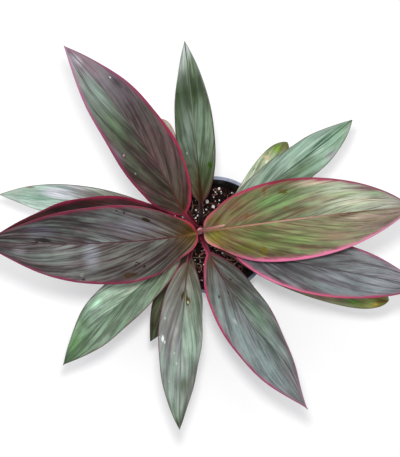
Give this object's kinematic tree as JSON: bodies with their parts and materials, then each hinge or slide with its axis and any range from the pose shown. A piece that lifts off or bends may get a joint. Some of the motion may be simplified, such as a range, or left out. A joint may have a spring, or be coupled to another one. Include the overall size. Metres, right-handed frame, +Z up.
{
  "type": "potted ti plant",
  "caption": "Round plastic nursery pot of soil with an upright cane that carries spreading, arching strap leaves with waved margins and a furled young leaf at its tip.",
  "frame": {"origin": "centre of the pot's flat base, on the surface it stands on", "axes": "+Z up, +X towards the large olive leaf, so that from above the cane stands a little to the -X side of the pot's middle"},
  "size_m": [0.4996, 0.4373, 0.3933],
  "materials": {
    "pot_plastic": "satin black, fine vertical moulding sheen",
    "potting_soil": "crumbly dark peat and bark with pale perlite grains",
    "cane_bark": "ringed, dull",
    "leaf_bronze": "waxy, streaked purple grey, crimson margin",
    "leaf_olive": "waxy, streaked olive, pink margin",
    "leaf_maroon": "waxy, dark maroon, crimson margin",
    "leaf_green": "waxy, streaked dull green, dark margin",
    "leaf_mint": "waxy, silvery mint green, dark margin",
    "leaf_dark": "waxy, dark olive",
    "leaf_pink": "waxy, soft pink"
  },
  "bodies": {
    "root": {"pot": "pot_plastic", "soil": "potting_soil", "cane": "cane_bark", "leaf_left_large": "leaf_bronze", "leaf_right_large": "leaf_olive", "leaf_upper_left": "leaf_bronze", "leaf_right_lower": "leaf_bronze", "leaf_left_maroon": "leaf_maroon", "leaf_lower_right": "leaf_bronze", "leaf_top": "leaf_green", "leaf_bottom": "leaf_green", "leaf_upper_right": "leaf_mint", "leaf_lower_left": "leaf_mint", "leaf_upper_right_short": "leaf_mint", "leaf_far_left": "leaf_mint", "leaf_right_short": "leaf_green", "leaf_behind_upper_left": "leaf_green", "leaf_lower_left_cut": "leaf_dark", "leaf_furled": "leaf_pink"}
  },
  "joints": []
}
